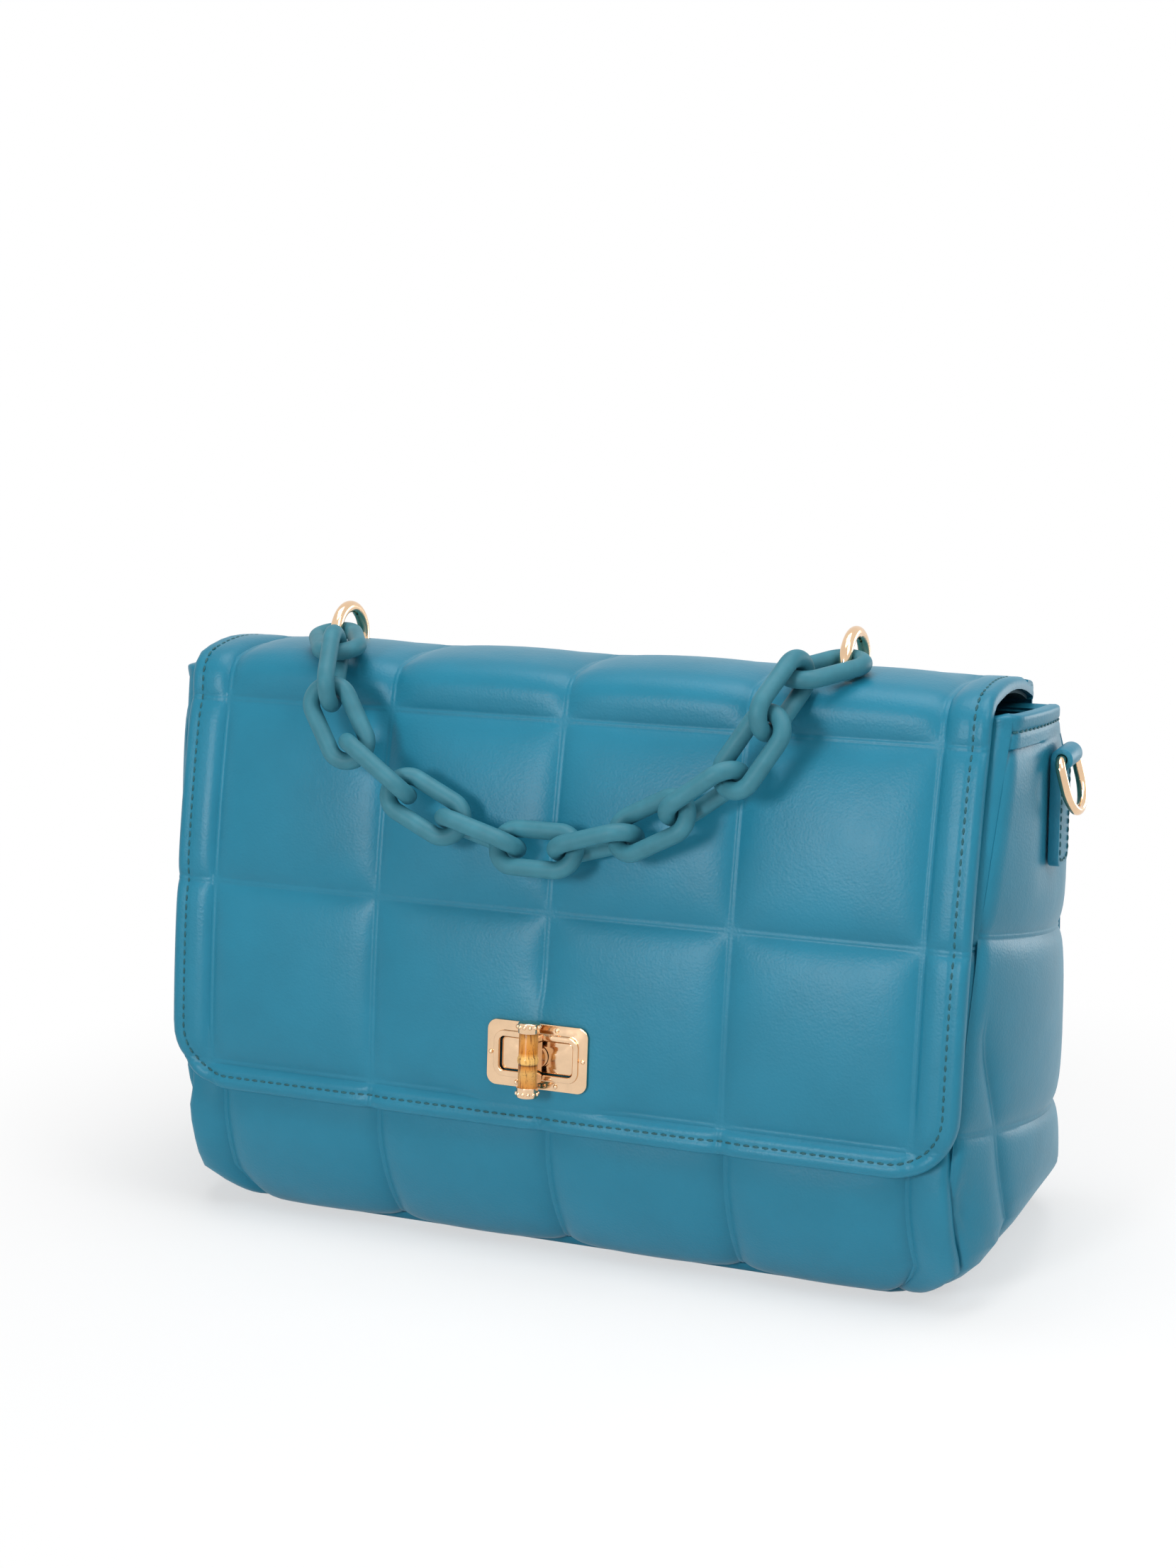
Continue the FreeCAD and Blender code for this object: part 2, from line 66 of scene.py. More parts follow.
# Sizes in mm that the frame's solids have too
RIM_Z = 214.0
FLAP_HALF = 161.0
FLAP_BOTTOM = 56.0
FLAP_CORNER = 25.0
FLAP_DEPTH = 7.0
HINGE = (6.5, 218.0)
ROLL = 3.5
PITCH = 72.0
COLUMNS = tuple(PITCH * step for step in range(-2, 3))
ROW_HEIGHTS = (207.0, 138.0, 67.0)
BODY_ROWS = ROW_HEIGHTS[1:]
LOCK_HEIGHT = 86.0
RING_AT = (103.5, -25.0, 229.87)
TAB_AT = (-5.0, 177.0)
FLAP_GAP = 0.5

# Outlines of the body's front and back from rim to base as (y, z), two arcs each
FRONT_POINTS = ((-45.0, RIM_Z), (-64.5, 138.0), (-75.0, 67.0), (-70.0, 22.0), (-55.0, 0.0))
BACK_POINTS = ((8.0, RIM_Z), (46.0, 138.0), (66.0, 67.0), (64.0, 22.0), (55.0, 0.0))

# Directions up and out of the lock's leaning face
LOCK_LEAN = math.asin(0.1231)
LOCK_UP = Vector((0, math.sin(LOCK_LEAN), math.cos(LOCK_LEAN)))
LOCK_OUT = Vector((0, -math.cos(LOCK_LEAN), math.sin(LOCK_LEAN)))

# Padding, seams and flat fields of the leather in mm
HALF_ROW = 34.0
FLAP_FREE = 118.0
PANEL_HALF = 165.0
PANEL_FREE = 126.0
WALL = 4.2
FLAP_SEAM = 3.1
FLAP_BORDER = 2.7
FLAP_FLAT = 6.8
LOCK_FLAT = 6.9
LOCK_FIELD = (21.0, 13.0)
TAB_FIELD = (9.0, 22.0)
STITCH_INSET = 5.6
THREAD_LIFT = 0.12
GUSSET_WIDTH = 130.0
GUSSET_ROWS = (67.0, 139.0, 203.0)
GUSSET_STITCHES = RIM_Z - 6.0

# Share of a gusset's grid that lies in front of its slanting seam
SLANT = 0.2

# Places round the body's skin
ROUND = np.linspace(0, 4, 161)[:-1]


class BagLeatherSettings(bpy.types.PropertyGroup):
    """Leather, quilting and thread."""
    colour: bpy.props.FloatVectorProperty(
        name="Leather colour", description="Colour of the leather", subtype="COLOR",
        default=(0.015, 0.192, 0.296), **RGB)
    thread: bpy.props.FloatVectorProperty(
        name="Thread colour", description="Colour of the stitches", subtype="COLOR",
        default=(0.004, 0.085, 0.105), **RGB)
    lining: bpy.props.FloatVectorProperty(
        name="Lining colour", description="Colour of the woven lining", subtype="COLOR",
        default=(0.02, 0.075, 0.10), **RGB)
    pillow: bpy.props.FloatProperty(
        name="Pillow rise", description="Height of a quilted square above its channels",
        subtype="DISTANCE", default=0.0039)
    stitch_pitch: bpy.props.FloatProperty(
        name="Stitch pitch", description="Distance from one stitch to the next",
        subtype="DISTANCE", default=0.0036)


class BagHardwareSettings(bpy.types.PropertyGroup):
    """Metal, chain and toggle."""
    gold: bpy.props.FloatVectorProperty(
        name="Metal colour", description="Colour of the plated metal", subtype="COLOR",
        default=(0.80, 0.56, 0.36), **RGB)
    chain: bpy.props.FloatVectorProperty(
        name="Chain colour", description="Colour of the chain links", subtype="COLOR",
        default=(0.042, 0.196, 0.256), **RGB)
    bamboo: bpy.props.FloatVectorProperty(
        name="Bamboo colour", description="Colour of the bamboo bar", subtype="COLOR",
        default=(0.70, 0.25, 0.025), **RGB)
    edge: bpy.props.FloatProperty(
        name="Edge round", description="Rounding of the metal's edges",
        subtype="DISTANCE", default=0.0004)


class BagStageSettings(bpy.types.PropertyGroup):
    """Floor, light and camera."""
    floor: bpy.props.FloatVectorProperty(
        name="Floor colour", description="Colour of the floor", subtype="COLOR",
        default=(0.97, 0.97, 0.97), **RGB)
    top_power: bpy.props.FloatProperty(
        name="Top light", description="Power of the large light overhead", subtype="POWER", default=15.5)
    key_power: bpy.props.FloatProperty(
        name="Key light", description="Power of the light in front", subtype="POWER", default=7.5)
    fill_power: bpy.props.FloatProperty(
        name="Fill light", description="Power of the light behind on the right", subtype="POWER", default=3.0)
    side_power: bpy.props.FloatProperty(
        name="Side light", description="Power of the light to the right", subtype="POWER", default=3.4)
    lens: bpy.props.FloatProperty(
        name="Lens", description="Focal length of the camera in mm", default=79.64)


# Curves and outlines in mm

def arc(a, b, c, count):
    """Points along the arc through three points of a plane."""
    x, y, z = (complex(*p) for p in (a, b, c))
    w = (z - x) / (y - x)
    centre = (y - x) * (w - abs(w) ** 2) / (2j * w.imag) + x
    turns = np.unwrap([np.angle(p - centre) for p in (x, y, z)])
    angles = np.linspace(turns[0], turns[2], count)
    return np.stack([centre.real + abs(x - centre) * np.cos(angles),
                     centre.imag + abs(x - centre) * np.sin(angles)], 1)


def joined(*runs):
    return np.concatenate([runs[0]] + [run[1:] for run in runs[1:]])


def lengths(points):
    return np.concatenate([[0.0], np.cumsum(np.linalg.norm(np.diff(points, axis=0), axis=1))])


def point_at(line, run, spot):
    """Point where a line has run a distance."""
    return np.array([np.interp(spot, run, column) for column in line.T])


def two_arcs(points, count=60):
    """Line of two arcs through five points."""
    return joined(arc(*points[:3], count), arc(*points[2:], count))


def flap_line(out):
    """Flap at a depth from the hinge over the crown to the lower edge as (y, z)."""
    lean = ((-1, 0), (-0.76, 0.65), (-0.24, 0.97), (0, 1), (0, 1))
    places = ((-45.5, 214), (-42.98, 218.08), (-36.5, 220), (-15, 220.5), (6.5, 214.5))
    a, b, c, d, e = [(y + out * ny, z + out * nz) for (y, z), (ny, nz) in zip(places, lean)]
    count = 12
    turn = np.linspace(-math.pi / 3, math.pi / 2, count)
    r = ROLL * out / FLAP_DEPTH
    roll = np.stack([HINGE[0] + r * np.cos(turn), HINGE[1] - ROLL + r + r * np.sin(turn)], 1)
    if out == 0:
        roll = np.stack([np.full(count, e[0]) + 0.02 * np.arange(count)[::-1], np.full(count, e[1])], 1)
    ahead = [(y - FLAP_GAP - out, z) for y, z in FRONT_POINTS]
    front, foot = arc(*ahead[:3], 80), arc(*ahead[2:], 161)
    foot = foot[foot[:, 1] >= FLAP_BOTTOM - 0.05]
    wanted, given = np.linspace(0, 1, 20), np.linspace(0, 1, len(foot))
    return joined(roll, arc(e, d, c, 40), arc(c, b, a, 24), front, point_at(foot, given, wanted).T)


FRONT, BACK = two_arcs(FRONT_POINTS), two_arcs(BACK_POINTS)
BACK_RUN = lengths(BACK)
FLAP_IN, FLAP_OUT = flap_line(0), flap_line(FLAP_DEPTH)
FLAP_RUN = lengths(FLAP_OUT)


def flap_run_at(height):
    """Distance along the flap's front where it passes a height."""
    front = FLAP_OUT[:, 0] < -45
    return float(np.interp(-height, -FLAP_OUT[front, 1], FLAP_RUN[front]))


FLAP_ROWS = [flap_run_at(height) for height in ROW_HEIGHTS]
LOCK_RUN = flap_run_at(LOCK_HEIGHT)

# Half width and height along the body's lower corners
CORNER = arc((137, 0), (161.79, 16.8), (174, 60), 30)


def depth_at(line, z):
    """Depth of the front or back line at a height."""
    return float(np.interp(z, line[::-1, 1], line[::-1, 0]))


def half_width(y, z):
    """Half width of the body at a depth and height."""
    radius, middle, setback = 192.06, -5.0, 19.06
    bowed = math.sqrt(radius ** 2 - (y - middle) ** 2) - setback
    return min(bowed, float(np.interp(z, CORNER[:, 1], CORNER[:, 0])))


def side_point(side, share, z):
    """Plan point on the front (0), right (1), back (2) or left (3) of the body, before rounding."""
    front, back = depth_at(FRONT, z), depth_at(BACK, z)
    if side % 2 == 0:
        y = front if side == 0 else back
        half = half_width(y, z)
        x = half * (2 * share - 1)
        return np.array([x if side == 0 else -x, y])
    y = front + (back - front) * (share if side == 1 else 1 - share)
    return np.array([half_width(y, z) * (1 if side == 1 else -1), y])


def side_length(side, z):
    if side % 2:
        return depth_at(BACK, z) - depth_at(FRONT, z)
    return 2 * half_width(depth_at(FRONT if side == 0 else BACK, z), z)


def corner_reach(z):
    """How far a rounded corner of the body reaches along its sides, further near the base."""
    return 8.0 + 9.0 * smooth((50.0 - z) / 50.0)


def skin(place, z):
    """Plan point of the body's skin. Place runs from 0 to 4, one side after the other."""
    side, share = int(math.floor(place)) % 4, place - math.floor(place)
    length = side_length(side, z)
    after, before = share * length, (1 - share) * length
    corner = corner_reach(z)
    if min(after, before) >= corner:
        return side_point(side, share, z)
    if after < corner:
        first, second, turn = (side - 1) % 4, side, 0.5 + 0.5 * after / corner
    else:
        first, second, turn = side, (side + 1) % 4, 0.5 - 0.5 * before / corner
    a = side_point(first, 1 - corner / side_length(first, z), z)
    b = side_point(second, corner / side_length(second, z), z)
    return (1 - turn) ** 2 * a + 2 * turn * (1 - turn) * side_point(second, 0, z) + turn ** 2 * b


def skin_grid(spots):
    """Points and outward normals of the skin for rows of (place, height)."""
    step = 0.002
    wide = [[(row[0][0] - step, row[0][1]), *row, (row[-1][0] + step, row[-1][1])] for row in spots]
    base = np.array([[(*skin(place, z), z) for place, z in row] for row in wide])
    normal = np.cross(np.gradient(base, axis=0), np.gradient(base, axis=1))
    normal /= np.linalg.norm(normal, axis=2)[..., None]
    return base[:, 1:-1], normal[:, 1:-1]


def near_lines(seams, low, high):
    """Grid lines between two ends, close together beside the seams."""
    steps = (0, 0.5, 1.0, 1.6, 2.6, 4.2, 6.5, 10, 15, 21, 28, 36)
    end_steps = (0.4, 1.0, 2.0, 3.4, 4.8, 6.2, 8, 11)
    closest, widest = 0.35, 8.0
    lines = {low, high}
    for seam in seams:
        lines.update(seam + side * step for step in steps for side in (-1, 1))
    for end, side in ((low, 1), (high, -1)):
        lines.update(end + side * step for step in end_steps)
    kept = []
    for value in sorted(v for v in lines if low <= v <= high):
        if not kept or value - kept[-1] > closest:
            kept.append(value)
    kept[-1] = high
    spread = [kept[0]]
    for value in kept[1:]:
        parts = max(1, math.ceil((value - spread[-1]) / widest))
        start = spread[-1]
        spread.extend(start + (value - start) * i / parts for i in range(1, parts + 1))
    return spread


def swell(distance, soft=4.2):
    """Rise of a pillow beside its sewn line, from 0 to 1, with a thin ridge along the line."""
    ridge = 0.13 * math.exp(-(distance / 0.55) ** 2)
    return ridge + 1 - math.exp(-max(0.0, distance - 1.0) / soft)


def dome(distance, half=PITCH / 2):
    """Rounded rise of a pillow towards its middle, from 0 to 1."""
    return math.sin(math.pi / 2 * min(1.0, distance / half))


def nearest(value, seams):
    return min(abs(value - seam) for seam in seams)


def edge_drop(distance, radius):
    """How far a rounded edge falls away."""
    d = min(max(distance, 0.0), radius)
    return radius - math.sqrt(max(0.0, radius ** 2 - (radius - d) ** 2))


def corner_seam(distance, z):
    """Depth of the seam where a gusset meets the front or back, which closes towards the rim."""
    return 2.0 * math.exp(-(distance / 2.2) ** 2) * (1 - 0.9 * smooth((z - 55.0) / 40.0))


def soft_edges(distance, below_rim, z):
    """How far the leather falls away at its corner seam, its rim and the base."""
    return corner_seam(distance, z) + edge_drop(below_rim, 1.5) + 0.8 * edge_drop(z, 7.0)


def outside(across, up, half_across, half_up):
    """Distance outside a flat field."""
    return math.hypot(max(0.0, abs(across) - half_across), max(0.0, abs(up) - half_up))


def drawn_in(line, half, free, full):
    """Place of a grid line across a sheet whose half width changes, past its straight middle."""
    if abs(line) <= free:
        return line
    return math.copysign(free + (abs(line) - free) * (half - free) / (full - free), line)


def smooth(share):
    """Soft step from 0 to 1."""
    x = min(1.0, max(0.0, share))
    return x * x * (3 - 2 * x)


# Meshes

def deselect():
    if bpy.context.mode != "OBJECT":
        bpy.ops.object.mode_set(mode="OBJECT")
    bpy.ops.object.select_all(action="DESELECT")


def only(obj):
    deselect()
    bpy.context.view_layer.objects.active = obj
    obj.select_set(True)
    return obj


def linked(name, data):
    """New object in the scene."""
    obj = bpy.data.objects.new(name, data)
    bpy.context.scene.collection.objects.link(obj)
    return obj


def mesh_object(name, points, faces):
    """New object from points in mm."""
    mesh = bpy.data.meshes.new(name)
    mesh.from_pydata([tuple(c * MM for c in p) for p in points], [], faces)
    return linked(name, mesh)


def shade(angle=40):
    """Shade what is selected, sharp at edges past an angle."""
    bpy.ops.object.shade_smooth_by_angle(angle=math.radians(angle))


def tidy(obj, angle=40):
    """Merge doubles, turn faces outwards and shade."""
    only(obj)
    bpy.ops.object.mode_set(mode="EDIT")
    bpy.ops.mesh.select_all(action="SELECT")
    bpy.ops.mesh.remove_doubles(threshold=0.00002)
    bpy.ops.mesh.normals_make_consistent(inside=False)
    bpy.ops.object.mode_set(mode="OBJECT")
    shade(angle)
    return obj


def padded_sheet(name, us, vs, place):
    """Closed pad: an outer and an inner grid joined round the edge. place(u, v, side) gives mm."""
    points = []
    for side in (0, 1):
        points.extend(place(u, v, side) for v in vs for u in us)
    nu, nv = len(us), len(vs)
    layer = nu * nv

    def at(i, j, side):
        return side * layer + j * nu + i

    faces = []
    for j in range(nv - 1):
        for i in range(nu - 1):
            faces.append((at(i, j, 0), at(i + 1, j, 0), at(i + 1, j + 1, 0), at(i, j + 1, 0)))
            faces.append((at(i, j, 1), at(i, j + 1, 1), at(i + 1, j + 1, 1), at(i + 1, j, 1)))
    rim = [(i, 0) for i in range(nu - 1)] + [(nu - 1, j) for j in range(nv - 1)]
    rim += [(i, nv - 1) for i in range(nu - 1, 0, -1)] + [(0, j) for j in range(nv - 1, 0, -1)]
    for a, b in zip(rim, rim[1:] + rim[:1]):
        faces.append((at(*a, 0), at(*a, 1), at(*b, 1), at(*b, 0)))
    return mesh_object(name, points, faces)


def ring_mesh(name, rings, capped=True):
    """Skin through loops of points, capped at both ends or closed from the last loop to the first."""
    count, total = len(rings[0]), len(rings)
    pairs = [(j, j + 1) for j in range(total - 1)] + ([] if capped else [(total - 1, 0)])
    faces = [(a * count + i, a * count + (i + 1) % count, b * count + (i + 1) % count, b * count + i)
             for a, b in pairs for i in range(count)]
    if capped:
        faces += [tuple(range(count)), tuple(range((total - 1) * count, total * count))]
    return mesh_object(name, [p for ring in rings for p in ring], faces)


def modify(obj, kind, **settings):
    """Add a modifier and apply it."""
    only(obj)
    modifier = obj.modifiers.new(kind.title(), kind)
    for key, value in settings.items():
        setattr(modifier, key, value)
    bpy.ops.object.modifier_apply(modifier=modifier.name)


def cut(obj):
    """Take the active object's shape out of another object."""
    bpy.ops.object.transform_apply(location=True, rotation=True, scale=True)
    cutter = bpy.context.active_object
    modify(obj, "BOOLEAN", operation="DIFFERENCE", solver="EXACT", object=cutter)
    bpy.data.objects.remove(cutter, do_unlink=True)


def dressed_copy(node, name, edge):
    """Copy of a CAD node with its edges rounded."""
    obj = only(linked(name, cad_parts[node].data.copy()))
    bpy.ops.object.mode_set(mode="EDIT")
    bpy.ops.mesh.select_all(action="SELECT")
    bpy.ops.mesh.remove_doubles(threshold=0.000005)
    bpy.ops.mesh.dissolve_limited(angle_limit=math.radians(0.8))
    bpy.ops.object.mode_set(mode="OBJECT")
    modify(obj, "BEVEL", width=edge, segments=3, limit_method="ANGLE",
           angle_limit=math.radians(35), use_clamp_overlap=True)
    shade(35)
    return obj


def box_middle(node):
    """Middle of a CAD node's box in m."""
    low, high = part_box(node)
    return (Vector(low) + Vector(high)) / 2


def paint(obj, material):
    """Give an object one material."""
    obj.data.materials.clear()
    obj.data.materials.append(material)


def finish_piece(obj, material, body, nodes=()):
    """Give a piece its material and its body, and hide the CAD nodes it stands in for."""
    paint(obj, material)
    if body:
        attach(obj, body)
    if nodes:
        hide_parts(*nodes)


# Materials

class Nodes:
    """Small helper that adds and links the shader nodes of a material or a world."""

    def __init__(self, name, store=None, shader="Principled BSDF"):
        store = bpy.data.materials if store is None else store
        old = store.get(name)
        self.made = old is None
        self.owner = old or store.new(name)
        if self.made:
            self.owner.use_nodes = True
            self.tree = self.owner.node_tree
            self.shader = self.tree.nodes[shader]
            self.coords = self.add("ShaderNodeTexCoord").outputs["Object"]

    def feed(self, socket, value):
        """Link a socket to another one or set its value."""
        if isinstance(value, bpy.types.NodeSocket):
            self.tree.links.new(value, socket)
        else:
            socket.default_value = value

    def add(self, kind, settings=None, **inputs):
        """New node, its inputs given by name, or by number as _0 and _1 where names repeat."""
        node = self.tree.nodes.new(kind)
        for key, value in (settings or {}).items():
            setattr(node, key, value)
        for key, value in inputs.items():
            spot = int(key[1:]) if key[0] == "_" else key.replace("_", " ")
            self.feed(node.inputs[spot], value)
        return node

    def noise(self, scale, detail=3.0, rough=0.5, vector=None):
        return self.add("ShaderNodeTexNoise", Vector=vector or self.coords, Scale=scale,
                        Detail=detail, Roughness=rough).outputs["Fac"]

    def wave(self, way, scale, wander=0.0):
        return self.add("ShaderNodeTexWave", {"bands_direction": way}, Vector=self.coords, Scale=scale,
                        Distortion=wander).outputs["Fac"]

    def multiply(self, share, colour, over):
        return self.add("ShaderNodeMix", {"data_type": "RGBA", "blend_type": "MULTIPLY"},
                        _0=share, _6=colour, _7=over).outputs[2]

    def ramp(self, fac, stops):
        node = self.add("ShaderNodeValToRGB", Fac=fac)
        ramp = node.color_ramp
        ramp.elements[0].position, ramp.elements[0].color = stops[0][0], (*stops[0][1], 1)
        ramp.elements[1].position, ramp.elements[1].color = stops[-1][0], (*stops[-1][1], 1)
        for place, colour in stops[1:-1]:
            ramp.elements.new(place).color = (*colour, 1)
        return node.outputs["Color"]

    def spread(self, fac, low, high):
        return self.add("ShaderNodeMapRange", Value=fac, To_Min=low, To_Max=high).outputs["Result"]

    def bump(self, height, strength, distance, under=None):
        inputs = dict(Height=height, Strength=strength, Distance=distance)
        if under is not None:
            inputs["Normal"] = under
        return self.add("ShaderNodeBump", **inputs).outputs["Normal"]

    def seen(self):
        """1 for rays from the camera or off glossy and clear pieces, 0 for others."""
        rays = self.add("ShaderNodeLightPath").outputs
        value = rays["Is Camera Ray"]
        for name in ("Is Glossy Ray", "Is Transmission Ray"):
            value = self.add("ShaderNodeMath", {"operation": "MAXIMUM"}, _0=value, _1=rays[name]).outputs[0]
        return value

    def set(self, **inputs):
        for key, value in inputs.items():
            self.feed(self.shader.inputs[key.replace("_", " ")], value)
        return self.owner


def tint(colour, share):
    return tuple(min(1.0, c * share) for c in colour)


def leather_material(name="quilt_leather", shade=1.0):
    """Smooth satin leather with a fine pebble grain and soft colour drift; a shade below 1 darkens the whole
    colour as painted shade.
    """
    n = Nodes(name)
    if not n.made:
        return n.owner
    # a shade below 1 is painted shade: the whole leather colour darkened for a piece that lies in shadow
    colour = tint(bpy.context.scene.bag_leather.colour, shade)
    drift = n.noise(38.0, 4.0, 0.55)
    base = n.ramp(drift, [(0.30, tint(colour, 0.95)), (0.52, colour), (0.75, tint(colour, 1.06))])
    cells = n.add("ShaderNodeTexVoronoi", {"feature": "SMOOTH_F1"}, Vector=n.coords, Scale=1150.0)
    grain = cells.outputs["Distance"]
    pores = n.noise(2600.0, 2.0, 0.6)
    creases = n.noise(210.0, 5.0, 0.62)
    normal = n.bump(creases, 0.15, 0.0006)
    normal = n.bump(grain, 0.28, 0.00022, normal)
    normal = n.bump(pores, 0.06, 0.0001, normal)
    n.set(Base_Color=base, Roughness=n.spread(n.noise(90.0, 4.0), 0.36, 0.44), Normal=normal)
    return n.set(Specular_IOR_Level=0.28)


def fabric_material():
    n = Nodes("woven_lining")
    if not n.made:
        return n.owner
    colour = tuple(bpy.context.scene.bag_leather.lining)
    warp, weft = (n.wave(way, 420.0, 0.6) for way in ("X", "Z"))
    weave = n.add("ShaderNodeMath", {"operation": "MAXIMUM"}, _0=warp, _1=weft).outputs[0]
    base = n.ramp(n.noise(60.0, 5.0), [(0.3, tint(colour, 0.8)), (0.7, tint(colour, 1.25))])
    return n.set(Base_Color=base, Roughness=0.86, Normal=n.bump(weave, 0.35, 0.0002))


def thread_material():
    n = Nodes("stitch_thread")
    if not n.made:
        return n.owner
    colour = tuple(bpy.context.scene.bag_leather.thread)
    base = n.ramp(n.noise(900.0), [(0.3, tint(colour, 0.75)), (0.7, tint(colour, 1.3))])
    return n.set(Base_Color=base, Roughness=0.6, Normal=n.bump(n.wave("DIAGONAL", 700.0), 0.4, 0.0001))


def gold_material():
    n = Nodes("polished_gold")
    if not n.made:
        return n.owner
    colour = tuple(bpy.context.scene.bag_hardware.gold)
    # painted reflection: random darker and lighter patches in the metal's colour stand in for its varied
    # reflections
    painted_reflection_mottle = n.noise(160.0, 4.0, 0.6)
    base = n.ramp(painted_reflection_mottle, [(0.3, tint(colour, 0.94)), (0.7, tint(colour, 1.05))])
    rough = n.spread(n.noise(320.0, 5.0, 0.65), 0.06, 0.17)
    return n.set(Base_Color=base, Metallic=1.0, Roughness=rough, Normal=n.bump(n.noise(1500.0), 0.02, 0.0001))


def chain_material():
    n = Nodes("satin_chain")
    if not n.made:
        return n.owner
    colour = tuple(bpy.context.scene.bag_hardware.chain)
    cloud = n.noise(120.0, 4.0, 0.55)
    base = n.ramp(cloud, [(0.3, tint(colour, 0.88)), (0.55, colour), (0.78, tint(colour, 1.16))])
    rough = n.spread(n.noise(500.0, 4.0), 0.44, 0.60)
    n.set(Base_Color=base, Roughness=rough, Normal=n.bump(n.noise(1800.0, 3.0), 0.05, 0.0001))
    return n.set(Specular_IOR_Level=0.28)


def bamboo_material():
    """Polished cane, pale at its knuckle with a dark line under it and brown streaks along it."""
    n = Nodes("polished_cane")
    if not n.made:
        return n.owner
    colour = tuple(bpy.context.scene.bag_hardware.bamboo)
    middle, half = LOCK_UP.dot(box_middle("toggle_bar")), 14.2 * MM
    along = n.add("ShaderNodeVectorMath", {"operation": "DOT_PRODUCT"}, _0=n.coords, _1=LOCK_UP)
    share = n.add("ShaderNodeMapRange", Value=along.outputs["Value"], From_Min=middle - half,
                  From_Max=middle + half)
    light, pale, ochre = (0.80, 0.44, 0.12), (0.95, 0.56, 0.16), (0.70, 0.32, 0.07)
    stops = [(0.10, colour), (0.34, light), (0.42, colour), (0.44, tint(colour, 0.30)), (0.46, pale),
             (0.54, pale), (0.60, colour), (0.78, ochre), (0.90, tint(colour, 0.6))]
    cane = n.ramp(share.outputs["Result"], stops)
    long_way = n.add("ShaderNodeMapping", Vector=n.coords, Scale=(1100.0, 1100.0, 50.0)).outputs["Vector"]
    fibre = n.noise(1.0, 4.0, 0.6, long_way)
    streak = n.ramp(fibre, [(0.34, (0.30, 0.20, 0.14)), (0.46, (0.92, 0.88, 0.84)), (0.70, (1.0, 1.0, 1.0))])
    specks = n.ramp(n.noise(1500.0, 2.0), [(0.30, (0.35, 0.24, 0.15)), (0.40, (1.0, 1.0, 1.0))])
    base = n.multiply(0.6, n.multiply(1.0, cane, streak), specks)
    return n.set(Base_Color=base, Roughness=n.spread(fibre, 0.16, 0.30), Normal=n.bump(fibre, 0.15, 0.0002),
                 Specular_IOR_Level=0.32)


def board_material():
    n = Nodes("pressed_board")
    if not n.made:
        return n.owner
    base = n.ramp(n.noise(300.0, 6.0, 0.7), [(0.3, (0.20, 0.14, 0.08)), (0.7, (0.34, 0.25, 0.15))])
    return n.set(Base_Color=base, Roughness=0.88, Normal=n.bump(n.noise(1400.0), 0.2, 0.0002))


# Stitches

def stitch_row(name, path, normals, body, pitch=None):
    """Row of small thread stitches along a path in mm, each lying on its surface."""
    pitch = pitch or bpy.context.scene.bag_leather.stitch_pitch / MM
    deselect()
    bpy.ops.mesh.primitive_uv_sphere_add(segments=6, ring_count=5, radius=1.0)
    seed = bpy.context.active_object
    path, normals = np.array(path), np.array(normals)
    run = lengths(path)
    count = max(2, int(run[-1] / pitch))
    size = Matrix.Scale(MM, 4) @ Matrix.Diagonal((pitch * 0.40, 0.50, 0.42, 1.0))
    made = bmesh.new()
    for spot in (np.arange(count) + 0.5) * run[-1] / count:
        along = Vector(point_at(path, run, spot + 0.5) - point_at(path, run, spot - 0.5)).normalized()
        up = Vector(point_at(normals, run, spot)).normalized()
        up = (up - along * up.dot(along)).normalized()
        turn = Matrix((along, up.cross(along), up)).transposed().to_4x4()
        place = Matrix.Translation(Vector(point_at(path, run, spot)) * MM) @ turn @ size
        before = len(made.verts)
        made.from_mesh(seed.data)
        made.verts.ensure_lookup_table()
        bmesh.ops.transform(made, matrix=place, verts=made.verts[before:])
    mesh = bpy.data.meshes.new(name)
    made.to_mesh(mesh)
    made.free()
    bpy.data.objects.remove(seed, do_unlink=True)
    obj = only(linked(name, mesh))
    bpy.ops.object.shade_smooth()
    finish_piece(obj, thread_material(), body)


# The flap

def flap_half_at(z):
    """Half width of the flap at a height, with its lower corners rounded."""
    rise = FLAP_BOTTOM + FLAP_CORNER - z
    if rise <= 0:
        return FLAP_HALF
    return FLAP_HALF - FLAP_CORNER + math.sqrt(max(0.0, FLAP_CORNER ** 2 - rise ** 2))


def flap_spot(run, height):
    """Point (y, z) at a distance along the flap and a height above its inner face."""
    inner, outer = (point_at(line, FLAP_RUN, run) for line in (FLAP_IN, FLAP_OUT))
    return inner + (outer - inner) * (height / FLAP_DEPTH)


def flap_x(line, run):
    """Place of a grid line across the flap, drawn in round the lower corners."""
    z = flap_spot(run, FLAP_DEPTH)[1] if run > FLAP_ROWS[0] else RIM_Z
    return drawn_in(line, flap_half_at(z), FLAP_FREE, FLAP_HALF)


def flap_edge_distance(x, run):
    """Distance in from the flap's side or lower edge."""
    side = FLAP_HALF - abs(x)
    low = FLAP_RUN[-1] - run
    if side < FLAP_CORNER and low < FLAP_CORNER:
        return FLAP_CORNER - math.hypot(FLAP_CORNER - side, FLAP_CORNER - low)
    return min(side, low)


